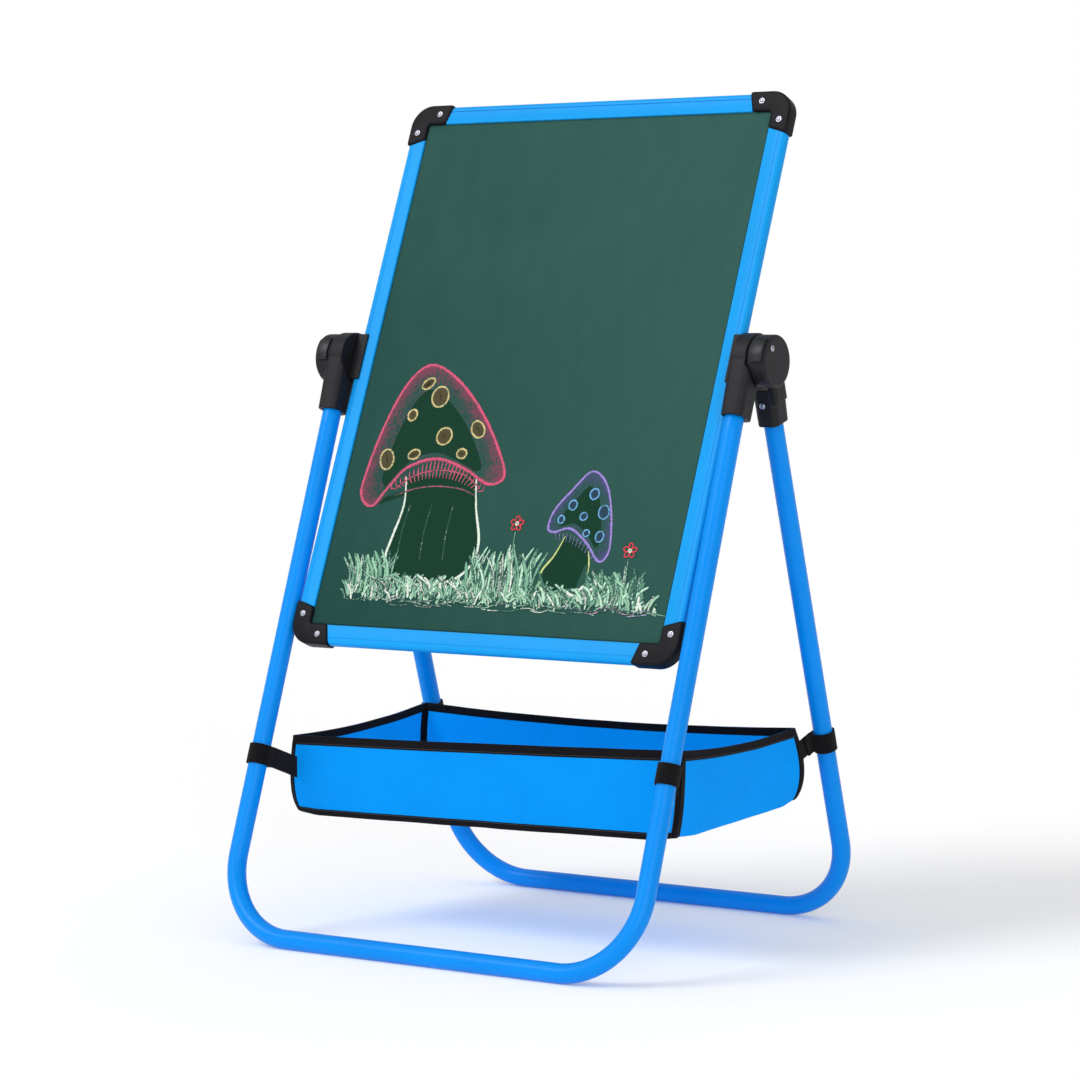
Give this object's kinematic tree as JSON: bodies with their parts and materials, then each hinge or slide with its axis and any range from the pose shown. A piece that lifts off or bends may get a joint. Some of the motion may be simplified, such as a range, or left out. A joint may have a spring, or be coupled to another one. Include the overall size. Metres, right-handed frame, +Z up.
{
  "type": "kids easel",
  "caption": "Double-sided children's easel with a turning framed chalk and marker board between folding bent-tube legs, and a fabric basket strapped under it.",
  "frame": {"origin": "on the floor, midway between the front and the rear foot tube and midway between the legs", "axes": "+Z up, -Y towards someone facing the chalk side, +X to that person's right"},
  "size_m": [0.5368, 0.436, 0.8316],
  "materials": {
    "blue_tube": "gloss powder coat",
    "blue_rail": "satin coloured extrusion",
    "cap_plastic": "fine moulded",
    "hinge_plastic": "fine moulded",
    "button_plastic": "moulded, slight sheen",
    "steel": "plated",
    "chalk_face": "matt slate-green coating",
    "white_face": "gloss marker coating",
    "core": "plain fibreboard",
    "basket_cloth": "woven, matt",
    "strap_web": "woven webbing"
  },
  "bodies": {
    "front_frame": {"front_tube": "blue_tube", "head_front_left": "hinge_plastic", "head_front_right": "hinge_plastic", "basket": "basket_cloth", "strap_front_left": "strap_web", "strap_front_right": "strap_web"},
    "rear_frame": {"rear_tube": "blue_tube", "head_rear_left": "hinge_plastic", "head_rear_right": "hinge_plastic", "cheek_screw_left": "steel", "cheek_screw_right": "steel", "socket_screw_left": "steel", "socket_screw_right": "steel", "strap_rear_left": "strap_web", "strap_rear_right": "strap_web"},
    "board": {"rail_top": "blue_rail", "rail_bottom": "blue_rail", "rail_left": "blue_rail", "rail_right": "blue_rail", "chalk_panel": "chalk_face", "panel_core": "core", "white_panel": "white_face", "corner_cap_top_left": "cap_plastic", "corner_cap_top_right": "cap_plastic", "corner_cap_bottom_left": "cap_plastic", "corner_cap_bottom_right": "cap_plastic", "rivet_top_left_x": "steel", "rivet_top_left_z": "steel", "rivet_top_right_x": "steel", "rivet_top_right_z": "steel", "rivet_bottom_left_x": "steel", "rivet_bottom_left_z": "steel", "rivet_bottom_right_x": "steel", "rivet_bottom_right_z": "steel", "rail_bracket_left": "hinge_plastic", "rail_bracket_right": "hinge_plastic", "pivot_pin_left": "steel", "pivot_pin_right": "steel"},
    "lock_button_left": {"lock_button_left": "button_plastic"},
    "lock_button_right": {"lock_button_right": "button_plastic"}
  },
  "joints": [
    {"name": "board_turn", "type": "hinge", "parent": "front_frame", "child": "board", "pos_m": [0, 0.01357, 0.57], "axis": [1, 0, 0], "continuous": true},
    {"name": "rear_fold", "type": "hinge", "parent": "front_frame", "child": "rear_frame", "pos_m": [0, 0.01357, 0.57], "axis": [-1, 0, 0], "range_deg": [0, 37.6], "deforming": ["strap_front_left", "strap_front_right", "strap_rear_left", "strap_rear_right"]},
    {"name": "lock_press_left", "type": "slide", "parent": "rear_frame", "child": "lock_button_left", "axis": [0, 0.9553, 0.2957], "range_m": [0, 0.003], "stiffness_N_per_m": 400},
    {"name": "lock_press_right", "type": "slide", "parent": "rear_frame", "child": "lock_button_right", "axis": [0, 0.9553, 0.2957], "range_m": [0, 0.003], "stiffness_N_per_m": 400}
  ]
}
